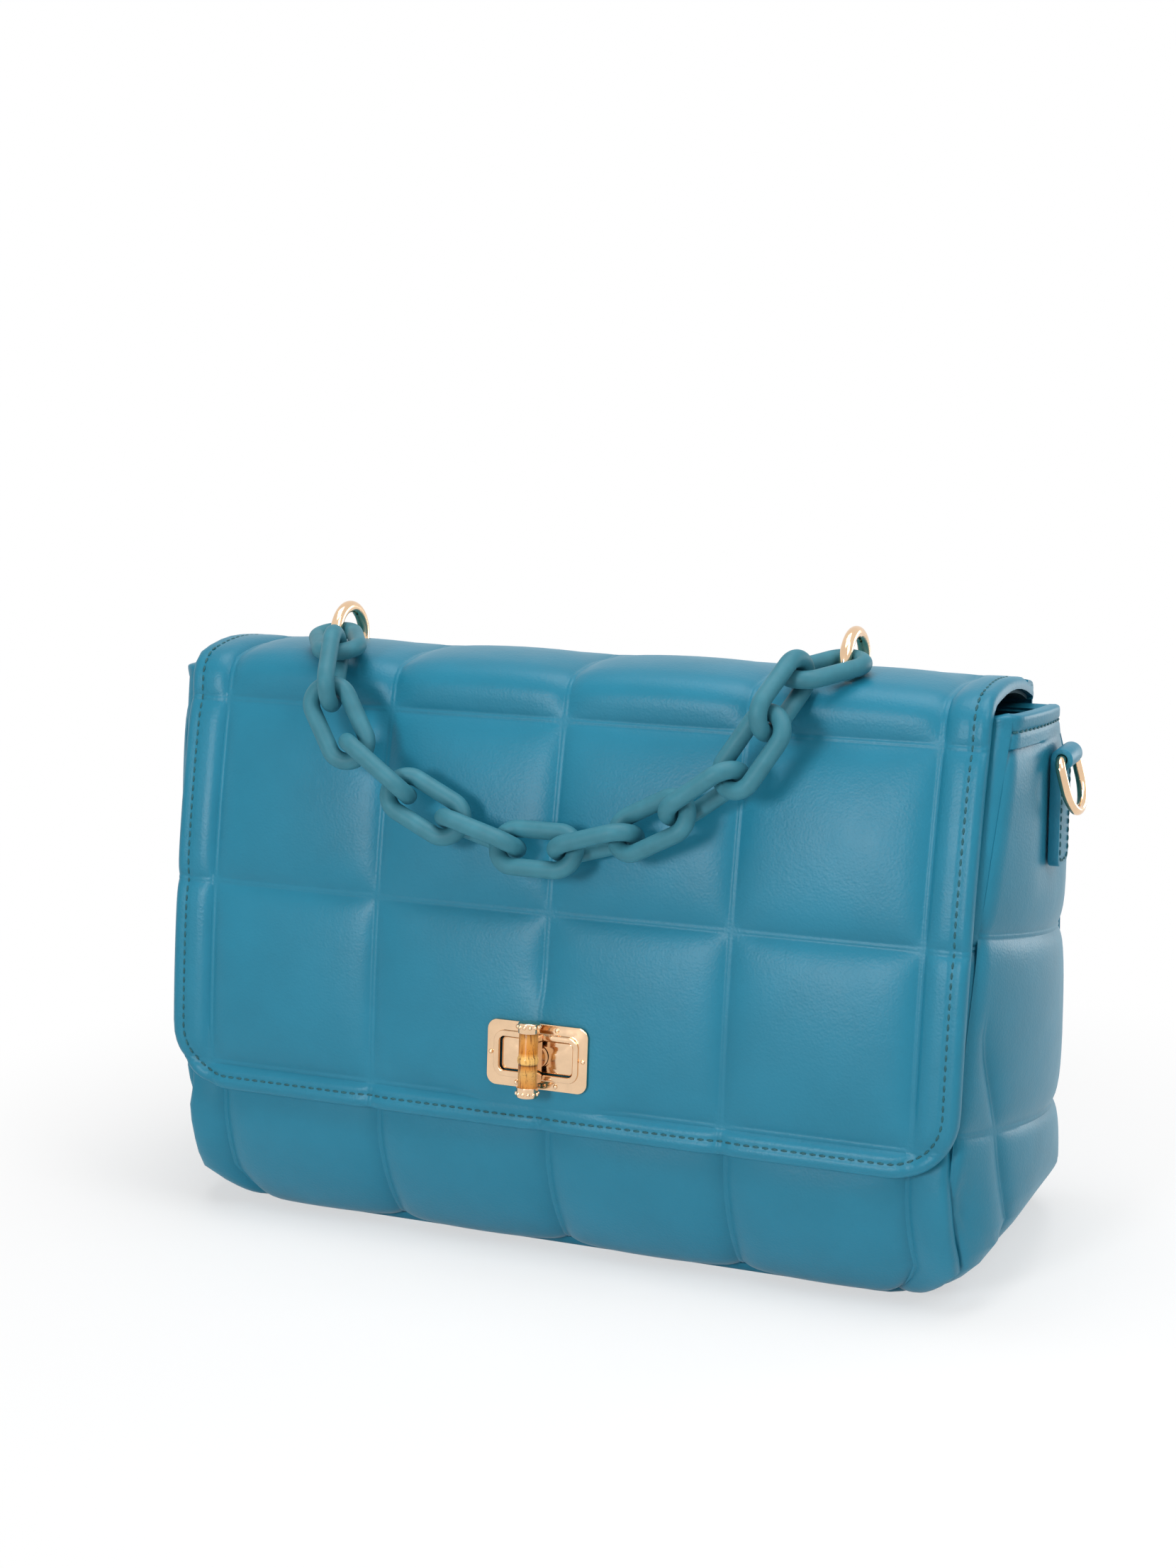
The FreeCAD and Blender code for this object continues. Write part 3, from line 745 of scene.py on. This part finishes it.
def flap_height(x, run):
    """Height of the flap's outer face above its inner face."""
    pillow = bpy.context.scene.bag_leather.pillow / MM
    edge = flap_edge_distance(x, run)
    dx, dr = nearest(x, COLUMNS), nearest(run, FLAP_ROWS)
    side, low = abs(x) - COLUMNS[-1], run - FLAP_ROWS[-1]
    if side <= 0 and low <= 0:
        height = FLAP_SEAM + pillow * (0.56 * swell(dx) * swell(dr) + 0.44 * dome(dx) * dome(dr, HALF_ROW))
    else:
        across = swell(dr, 3.0) if side > low else swell(dx, 3.0)
        height = FLAP_SEAM + FLAP_BORDER * swell(max(side, low), 2.2) * (0.5 + 0.5 * across)
    height -= 0.6 * math.exp(-(edge - STITCH_INSET) ** 2)
    height = FLAP_FLAT + (height - FLAP_FLAT) * smooth((run - 15.0) / 15.0)
    away = outside(x, run - LOCK_RUN, *LOCK_FIELD)
    height = LOCK_FLAT + (height - LOCK_FLAT) * smooth(away / 16.0)
    return max(height - edge_drop(edge, 3.0), 2.0)


class BAG_OT_flap(bpy.types.Operator):
    """Make the quilted flap, its lining and its edge stitching"""
    bl_idname = "bag.flap"
    bl_label = "Flap"

    def execute(self, context):
        end = float(FLAP_RUN[-1])
        us = near_lines(COLUMNS, -FLAP_HALF, FLAP_HALF)
        vs = near_lines(FLAP_ROWS, 0.0, end)

        def place(u, v, inner):
            x = flap_x(u, v)
            return (x, *flap_spot(v, 1.7 if inner else flap_height(x, v)))

        flap = tidy(padded_sheet("flap_quilted", us, vs, place))
        self.open_lock_window(flap)
        self.open_ring_slots(flap)
        shade()
        finish_piece(flap, leather_material(), "flap", ["flap_outer"])

        margin = 2.0

        def lining_place(u, v, inner):
            x = flap_x(u, v) * (FLAP_HALF - margin) / FLAP_HALF
            return (x, *flap_spot(min(v, end - margin), 0.2 if inner else 1.5))

        coarse_u = near_lines((), -FLAP_HALF, FLAP_HALF)
        coarse_v = near_lines((), 8.0, end)
        lining = tidy(padded_sheet("flap_lining_sheet", coarse_u, coarse_v, lining_place))
        self.open_lock_window(lining, 12.0)
        self.open_ring_slots(lining)
        finish_piece(lining, fabric_material(), "flap", ["flap_lining"])
        self.stitches(end)
        return {"FINISHED"}

    def open_lock_window(self, obj, grow=0.0):
        """Cut the opening that the lock's boss stands in."""
        width, depth, height = 30.0 + grow, 60.0, 13.0 + grow
        deselect()
        bpy.ops.mesh.primitive_cube_add(size=1.0, location=box_middle("lock_base"))
        cutter = bpy.context.active_object
        cutter.scale = (width * MM, depth * MM, height * MM)
        cutter.rotation_euler = (-LOCK_LEAN, 0, 0)
        cut(obj)

    def open_ring_slots(self, obj):
        """Cut the slots that the handle rings pass through."""
        for side in (-1, 1):
            x, y, z = RING_AT
            deselect()
            bpy.ops.mesh.primitive_torus_add(
                location=(side * x * MM, y * MM, z * MM), rotation=(0, math.pi / 2, 0),
                major_radius=11.2 * MM, minor_radius=3.1 * MM, major_segments=40, minor_segments=16)
            cut(obj)

    def stitches(self, end):
        """Thread along the sides and the lower edge, a little in from the edge."""
        r = FLAP_CORNER - STITCH_INSET
        corner_x, corner_run = FLAP_HALF - FLAP_CORNER, end - FLAP_CORNER
        side = [(-corner_x - r, run) for run in np.linspace(24.0, corner_run, 120)]
        for t in np.linspace(0, math.pi / 2, 24)[1:]:
            side.append((-corner_x - r * math.cos(t), corner_run + r * math.sin(t)))
        low = [(x, end - STITCH_INSET) for x in np.linspace(-corner_x, corner_x, 160)[1:]]
        other_side = [(-x, run) for x, run in side[::-1]]
        points, normals = [], []
        for x, run in side + low + other_side[1:]:
            height = flap_height(x, run) + THREAD_LIFT
            spot, above = flap_spot(run, height), flap_spot(run, height + 1)
            points.append((x, *spot))
            normals.append((0, *(above - spot)))
        stitch_row("flap_stitching", points, normals, "flap")


# The body

def padded_skin(name, us, vs, spot, rise):
    """Pad on the body's skin. spot(u, v) is a (place, height), rise(u, v, point) the pad's rise there."""
    base, normal = skin_grid([[spot(u, v) for u in us] for v in vs])
    lift = np.array([[rise(u, v, base[j, i]) for i, u in enumerate(us)] for j, v in enumerate(vs)])
    outer, inner = base + normal * lift[..., None], base - normal * WALL
    for layer in (outer, inner):
        layer[..., 2] = np.maximum(layer[..., 2], 0.4)
    columns = {u: i for i, u in enumerate(us)}
    rows = {v: j for j, v in enumerate(vs)}
    obj = tidy(padded_sheet(name, us, vs, lambda u, v, side: (inner if side else outer)[rows[v], columns[u]]))
    return obj, outer, normal


def gusset_rim(u):
    """Rise of a gusset's rim, u running from front to back."""
    return 4.0 * (1 - u)


def near_rim(z):
    """Share from 0 to 1 by which a height follows the gussets' rims."""
    return smooth((z - 180.0) / 23.0)


def gusset_level(u, z):
    """Height of a gusset's grid row, which falls towards the back with its seams."""
    falls = (0.0, 5.0 - 26.0 * u, 4.0 - 23.0 * u, gusset_rim(u), gusset_rim(u))
    return z + float(np.interp(z, (0.0, *GUSSET_ROWS, RIM_Z), falls))


def gusset_share(c, z):
    """Place across a gusset of a grid column, the slanting seam lying on column SLANT."""
    seam = float(np.interp(z, (0, 20, 67, 105, RIM_Z), (0.27, 0.25, 0.19, 0.07, 0.12)))
    return float(np.interp(c, (0, SLANT, 1), (0, seam, 1)))


class BAG_OT_body(bpy.types.Operator):
    """Make the quilted front, back, base and gussets"""
    bl_idname = "bag.body"
    bl_label = "Body"

    def execute(self, context):
        leather = leather_material()
        us = near_lines(COLUMNS, -PANEL_HALF, PANEL_HALF)
        vs = near_lines(BODY_ROWS, 0.0, RIM_Z)[::-1]

        def across(u, z, line):
            half = half_width(depth_at(line, z), z)
            return drawn_in(u, half, PANEL_FREE, PANEL_HALF) / (2 * half)

        def edges(u, z):
            return soft_edges(PANEL_HALF - abs(u), RIM_Z - z, z)

        def front_spot(u, z):
            reach = 25.0
            rim = gusset_rim(0) * smooth((abs(u) - PANEL_HALF + reach) / reach) * near_rim(z)
            return (0.5 + across(u, z, FRONT), z + rim)

        def front_rise(u, z, _):
            dx, dr = nearest(u, COLUMNS), nearest(z, BODY_ROWS)
            low = smooth((FLAP_BOTTOM - z) / 12.0)
            rise = -3.0 + 2.6 * swell(dx) * swell(dr)
            rise += low * (1.0 + 1.9 * dome(dx) * dome(min(z + 8.0, BODY_ROWS[-1] - z), 32))
            return rise - edges(u, z)

        def back_rise(u, z, _):
            dx, dr = nearest(u, COLUMNS), nearest(z, BODY_ROWS)
            rise = -1.9 + 2.2 * swell(dx) * swell(dr) + 1.5 * dome(dx) * dome(dr, HALF_ROW)
            return -0.4 + (rise + 0.4) * smooth((208.0 - z) / 14.0) - edges(u, z)

        front, _, _ = padded_skin("front_quilted", us, vs, front_spot, front_rise)
        self.spindle_hole(front)
        finish_piece(front, leather, "bag", ["front_panel"])
        back, _, _ = padded_skin(
            "back_quilted", us, vs, lambda u, z: (2.5 + across(u, z, BACK), z), back_rise)
        finish_piece(back, leather, "bag", ["back_panel"])
        self.gusset("right_gusset", leather, False)
        self.gusset("left_gusset", leather, True)
        self.base(leather)
        return {"FINISHED"}

    def spindle_hole(self, obj):
        """Cut the hole that the toggle's spindle passes through."""
        deselect()
        bpy.ops.mesh.primitive_cylinder_add(
            radius=2.5 * MM, depth=50.0 * MM, vertices=32, location=box_middle("toggle_spindle"),
            rotation=(math.pi / 2 - LOCK_LEAN, 0, 0))
        cut(obj)
        shade()

    def gusset(self, name, leather, left):
        """Bowed end panel with falling row seams and a slanting seam near its front."""
        us = [line / GUSSET_WIDTH for line in near_lines((SLANT * GUSSET_WIDTH,), 0.0, GUSSET_WIDTH)]
        if left:
            us = [1 - u for u in us[::-1]]
        vs = near_lines((*GUSSET_ROWS, GUSSET_STITCHES), 0.0, RIM_Z)[::-1]

        def share(u, v):
            return gusset_share(1 - u if left else u, v)

        def spot(u, v):
            across = share(u, v)
            return (4 - across if left else 1 + across, gusset_level(across, v))

        def rise(u, v, point):
            _, y, z = point
            depth = side_length(1, z)
            across = share(u, v)
            edge = min(across, 1 - across) * depth
            slant = abs(across - gusset_share(SLANT, v)) * depth
            shown = smooth((112.0 - v) / 20.0)
            beside = 1 - shown * (1 - swell(slant, 3.5))
            dr = nearest(v, GUSSET_ROWS)
            height = -2.4 + 2.3 * swell(dr) * beside + dome(dr, HALF_ROW) * dome(edge, 40)
            tab = outside(y - TAB_AT[0], z - TAB_AT[1], *TAB_FIELD)
            height = -0.6 + (height + 0.6) * smooth(tab / 14.0)
            if v > RIM_Z - 12.0:
                height = max(height, -1.0) - 0.5 * math.exp(-(v - GUSSET_STITCHES) ** 2)
            pinch = 4.0 * math.exp(-((v - 42.0) / 10.0) ** 2 - ((across * depth - 7.0) / 6.0) ** 2)
            return height - soft_edges(edge, RIM_Z - v, z) - pinch

        obj, outer, normal = padded_skin(name + "_quilted", us, vs, spot, rise)
        finish_piece(obj, leather, "bag", [name])
        row = min(range(len(vs)), key=lambda j: abs(vs[j] - GUSSET_STITCHES))
        points, normals = outer[row][2:-2], normal[row][2:-2]
        stitch_row(name + "_rim_stitching", points + normals * THREAD_LIFT, normals, "bag")

    def base(self, leather):
        """Flat base with rounded corners and soft edges."""
        base, normal = skin_grid([[(place, z) for place in ROUND] for z in (3.0, 1.0)])
        outline = (base - normal * 4.0)[1]
        under, top = (0.02, 0.4, 0.8, 0.96, 0.98, 0.99, 1.0), 3.4
        levels = [(0.05 + edge_drop(4.0 * (1 - share) / 0.05, 2.0), share) for share in under]
        levels += [(top, share) for share in (1.0, 0.8, 0.4, 0.02)]
        rings = [[(x * share, y * share, z) for x, y, _ in outline] for z, share in levels]
        obj = tidy(ring_mesh("base_sheet", rings))
        finish_piece(obj, leather, "bag", ["base_panel"])


def back_spot(run, lift):
    """Point (y, z) at a distance down the back from its rim, lifted off it."""
    reach = 0.6
    here, above, below = (point_at(BACK, BACK_RUN, spot) for spot in (run, run - reach, run + reach))
    step = below - above
    return here + np.array([-step[1], step[0]]) / np.linalg.norm(step) * lift


class BAG_OT_inside(bpy.types.Operator):
    """Make the lining bag, the rim facing and the hinge strip"""
    bl_idname = "bag.inside"
    bl_label = "Inside"

    def loop(self, z, inset):
        """Loop inside the body's skin near a height, following the gussets' rims near the top."""
        row = []
        for place in ROUND:
            side, share = int(place) % 4, place % 1
            u = share if side == 1 else 1 - share
            row.append((place, z + (gusset_rim(u) * near_rim(z) if side % 2 else 0.0)))
        base, normal = skin_grid([row, [(place, level - 1.0) for place, level in row]])
        return [tuple(p) for p in (base - normal * inset)[0]]

    def tub(self, name, heights, inset, wall, floor):
        """Wall that follows the body's skin, open at the top, with or without a floor."""
        outer = [self.loop(z, inset) for z in heights]
        inner = [self.loop(z, inset + wall) for z in heights]
        if floor:
            for rings, lift in ((outer, 0.0), (inner, wall)):
                last = [(x, y, z + lift) for x, y, z in rings.pop()]
                for share in (1.0, 0.7, 0.3, 0.02):
                    rings.append([(x * share, y * share, z) for x, y, z in last])
        return tidy(ring_mesh(name, outer[::-1] + inner, capped=floor), 50)

    def execute(self, context):
        lining = self.tub("lining_bag", np.linspace(187.5, 6.0, 24), 5.4, 0.8, True)
        finish_piece(lining, fabric_material(), "bag", ["lining"])
        facing = self.tub("rim_facing_band", np.linspace(213.2, 186.0, 8), 4.3, 1.0, False)
        # painted shade: the rim facing inside the opening gets the same leather darkened to 0.92
        finish_piece(facing, leather_material("facing_leather_painted_shade", 0.92), "bag", ["rim_facing"])
        self.hinge_strip()
        return {"FINISHED"}

    def hinge_strip(self):
        """Leather from the back panel over the hinge to the crown."""
        half = FLAP_HALF - 0.5
        down = [back_spot(run, 0.4) for run in np.linspace(22.0, 2.0, 12)]
        over = [p for p, run in zip(FLAP_OUT, FLAP_RUN) if 1.0 < run < 14.0]
        line = np.array(down + over)
        last = len(line) - 1
        steps = np.gradient(line, axis=0)
        normals = np.stack([steps[:, 1], -steps[:, 0]], 1) / np.linalg.norm(steps, axis=1)[:, None]

        def place(u, v, inner):
            fade = smooth(min(v, last - v) / 4.0) - 0.4 * edge_drop(half - abs(u), 1.5)
            y, z = line[v] + normals[v] * (0.75 * fade - 0.45 - (1.2 if inner else 0.0))
            return (u, y, z)

        obj = tidy(padded_sheet("hinge_strip", near_lines((), -half, half), range(last + 1), place))
        finish_piece(obj, leather_material(), None)
        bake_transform(obj)


PLAIN_METAL = ("left_ring", "right_ring", "left_dring", "right_dring", "toggle_spindle", "spindle_clip",
               "lock_backing_plate", "lock_frame_back")


class BAG_OT_hardware(bpy.types.Operator):
    """Finish the chain, rings, lock, toggle and side tabs"""
    bl_idname = "bag.hardware"
    bl_label = "Hardware"

    def execute(self, context):
        edge = context.scene.bag_hardware.edge
        gold, leather = gold_material(), leather_material()
        for name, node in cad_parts.items():
            if name.startswith("chain_link"):
                paint(node, chain_material())
            elif name in PLAIN_METAL:
                paint(node, gold)
            elif name == "base_board":
                paint(node, board_material())
        for node, body in (("lock_frame", "flap"), ("lock_base", "bag"), ("toggle_saddle", "toggle")):
            self.dress(node, node + "_polished", edge, gold, body)
        self.dress("toggle_bar", "bamboo_bar", edge / 2, bamboo_material(), "toggle", "bamboo")
        for node in ("toggle_top_cap", "toggle_bottom_cap"):
            self.dress(node, node + "_polished", edge / 2, gold, "toggle")
        self.cap_beads(gold)
        self.frame_studs(gold)
        for node in ("left_ring_anchor", "right_ring_anchor"):
            self.dress(node, node + "_strip", edge, leather, "flap", "teal_leather")
        for side, node in ((-1, "left_dring_tab"), (1, "right_dring_tab")):
            self.dress(node, node + "_strip", 0.6 * MM, leather, "bag", "teal_leather")
            self.tab_stitches(side, node)
        return {"FINISHED"}

    def dress(self, node, name, edge, material, body, slot="pale_gold_metal"):
        """Put a copy with rounded edges in a CAD node's place."""
        finish_piece(dressed_copy(node, name, edge), material, body, [node])

    def balls(self, name, places, radius):
        """Small round balls at places in m, as one piece."""
        made = []
        for place in places:
            deselect()
            bpy.ops.mesh.primitive_uv_sphere_add(
                segments=14, ring_count=9, radius=radius * MM, location=place)
            bpy.ops.object.transform_apply(location=True, rotation=True, scale=True)
            made.append(bpy.context.active_object)
        first = only(made[0])
        for ball in made[1:]:
            ball.select_set(True)
        bpy.ops.object.join()
        first.name = name
        bpy.ops.object.shade_smooth()
        return first

    def cap_beads(self, gold):
        """Ring of beads round each cap of the toggle."""
        count, reach, shift = 12, 3.95 * MM, 0.4 * MM
        places = []
        for name, end in (("toggle_top_cap", 1), ("toggle_bottom_cap", -1)):
            middle = box_middle(name) + LOCK_UP * end * shift
            for i in range(count):
                turn = 2 * math.pi * i / count
                out = LOCK_OUT * math.cos(turn) + Vector((1, 0, 0)) * math.sin(turn)
                places.append(middle + out * reach)
        finish_piece(self.balls("toggle_cap_beads", places, 0.75), gold, "toggle")

    def frame_studs(self, gold):
        """Small round studs on the lock's frame."""
        middle = box_middle("lock_frame")
        spots = [(x, z) for x in (-8.0, 8.0) for z in (-10.6, 10.6)] + [(-18.8, 0.0), (18.8, 0.0)]
        places = [middle + (Vector((x, 0, 0)) + LOCK_UP * z + LOCK_OUT * 0.1) * MM for x, z in spots]
        finish_piece(self.balls("lock_frame_studs", places, 0.9), gold, "flap")

    def tab_stitches(self, side, name):
        """Thread down both edges and round the foot of a tab."""
        low, high = (Vector(c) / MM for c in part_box(name))
        inset, fold, below_ring, r, pitch = 2.0, 4.0, 9.0, 3.0, 3.0
        x = side * (max(abs(low.x), abs(high.x)) - fold)
        y0, y1 = low.y + inset, high.y - inset
        foot, top = low.z + inset, high.z - below_ring
        turns = np.linspace(0, math.pi / 2, 6)
        loop = [(y0, z) for z in np.linspace(top, foot + r, 12)]
        loop += [(y0 + r - r * math.cos(t), foot + r - r * math.sin(t)) for t in turns[1:]]
        loop += [(y1 - r + r * math.sin(t), foot + r - r * math.cos(t)) for t in turns]
        loop += [(y1, z) for z in np.linspace(foot + r, top, 12)[1:]]
        points, normals = [(x, y, z) for y, z in loop], [(side, 0, 0)] * len(loop)
        stitch_row(name + "_stitching", points, normals, "bag", pitch)


class BAG_OT_stage(bpy.types.Operator):
    """Make the floor, the lights and the camera"""
    bl_idname = "bag.stage"
    bl_label = "Stage"

    def execute(self, context):
        stage = context.scene.bag_stage
        deselect()
        bpy.ops.mesh.primitive_plane_add(size=12.0)
        floor = bpy.context.active_object
        floor.name = "floor"
        floor.data.materials.append(self.floor_material(stage.floor))
        self.light("top", stage.top_power, (0.1, -0.15, 1.6), 1.1)
        self.light("key", stage.key_power, (-0.20, -1.36, 0.52), 0.30)
        self.light("fill", stage.fill_power, (0.75, 0.95, 0.24), 0.45)
        self.light("side", stage.side_power, (0.80, -0.35, 0.90), 0.50)
        self.world()
        self.camera(stage.lens)
        context.scene.view_settings.view_transform = "Standard"
        return {"FINISHED"}

    def light(self, name, power, place, size):
        """Square light turned to the bag."""
        aim = Vector((0, 0, 0.11))
        data = bpy.data.lights.new(name, "AREA")
        data.energy, data.size = power, size
        lamp = linked(name, data)
        lamp.location = place
        lamp.visible_camera = False
        lamp.rotation_euler = (aim - lamp.location).to_track_quat("-Z", "Y").to_euler()

    def floor_material(self, colour):
        """Pale floor that turns to plain white away from the bag."""
        n = Nodes("pale_floor")
        if not n.made:
            return n.owner
        n.set(Base_Color=(*colour, 1), Roughness=0.9)
        reach = n.add("ShaderNodeVectorMath", {"operation": "LENGTH"}, _0=n.coords).outputs["Value"]
        far = n.add("ShaderNodeMapRange", {"interpolation_type": "SMOOTHSTEP"}, Value=reach,
                    From_Min=0.16, From_Max=0.38, To_Min=0.56).outputs["Result"]
        share = n.add("ShaderNodeMath", {"operation": "MULTIPLY"}, _0=far, _1=n.seen()).outputs[0]
        white = n.add("ShaderNodeEmission", Color=(1, 1, 1, 1), Strength=1.0).outputs[0]
        mixed = n.add("ShaderNodeMixShader", _0=share, _1=n.shader.outputs[0], _2=white).outputs[0]
        n.tree.links.new(mixed, n.tree.nodes["Material Output"].inputs["Surface"])
        return n.owner

    def world(self):
        """White where it is seen, dim where it only lights."""
        n = Nodes("studio", bpy.data.worlds, "Background")
        bpy.context.scene.world = n.owner
        if n.made:
            n.set(Color=(1, 1, 1, 1), Strength=n.spread(n.seen(), 0.15, 1.0))

    def camera(self, lens):
        """Camera at its fitted place and turn."""
        place, shift = (0.3949, -0.9124, 0.3862), (-0.0215, 0.1371)
        azimuth, elevation, roll = (math.radians(v) for v in (23.614, 15.650, -0.828))
        level = math.cos(elevation)
        back = Vector((math.sin(azimuth) * level, -math.cos(azimuth) * level, math.sin(elevation)))
        right = Vector((math.cos(azimuth), math.sin(azimuth), 0))
        up = back.cross(right)
        right, up = right * math.cos(roll) + up * math.sin(roll), up * math.cos(roll) - right * math.sin(roll)
        data = bpy.data.cameras.new("camera")
        data.sensor_fit, data.sensor_width, data.lens = "HORIZONTAL", 36.0, lens
        data.shift_x, data.shift_y = shift
        data.clip_end = 50.0
        camera = linked("camera", data)
        turn = Matrix((right, up, back)).transposed().to_4x4()
        camera.matrix_world = Matrix.Translation(place) @ turn
        bpy.context.scene.camera = camera


class BAG_PT_panel(bpy.types.Panel):
    """Steps that build the bag, and the sizes and colours they use"""
    bl_idname = "BAG_PT_panel"
    bl_label = "Chain Shoulder Bag"
    bl_space_type = "VIEW_3D"
    bl_region_type = "UI"
    bl_category = "Bag"

    def draw(self, context):
        layout = self.layout
        for group, cls in SETTINGS.items():
            for name in cls.__annotations__:
                layout.prop(getattr(context.scene, group), name)
        for operator in STEPS:
            layout.operator(operator.bl_idname)


SETTINGS = {
    "bag_leather": BagLeatherSettings,
    "bag_hardware": BagHardwareSettings,
    "bag_stage": BagStageSettings,
}
STEPS = (BAG_OT_flap, BAG_OT_body, BAG_OT_inside, BAG_OT_hardware, BAG_OT_stage)


def register():
    for cls in (*SETTINGS.values(), *STEPS, BAG_PT_panel):
        bpy.utils.register_class(cls)
    for name, cls in SETTINGS.items():
        setattr(bpy.types.Scene, name, bpy.props.PointerProperty(type=cls))


def unregister():
    for name in SETTINGS:
        delattr(bpy.types.Scene, name)
    for cls in (BAG_PT_panel, *reversed(STEPS), *reversed(list(SETTINGS.values()))):
        bpy.utils.unregister_class(cls)


def main():
    register()
    bpy.ops.bag.flap()
    bpy.ops.bag.body()
    bpy.ops.bag.inside()
    bpy.ops.bag.hardware()
    bpy.ops.bag.stage()


if __name__ == "__main__":
    main()
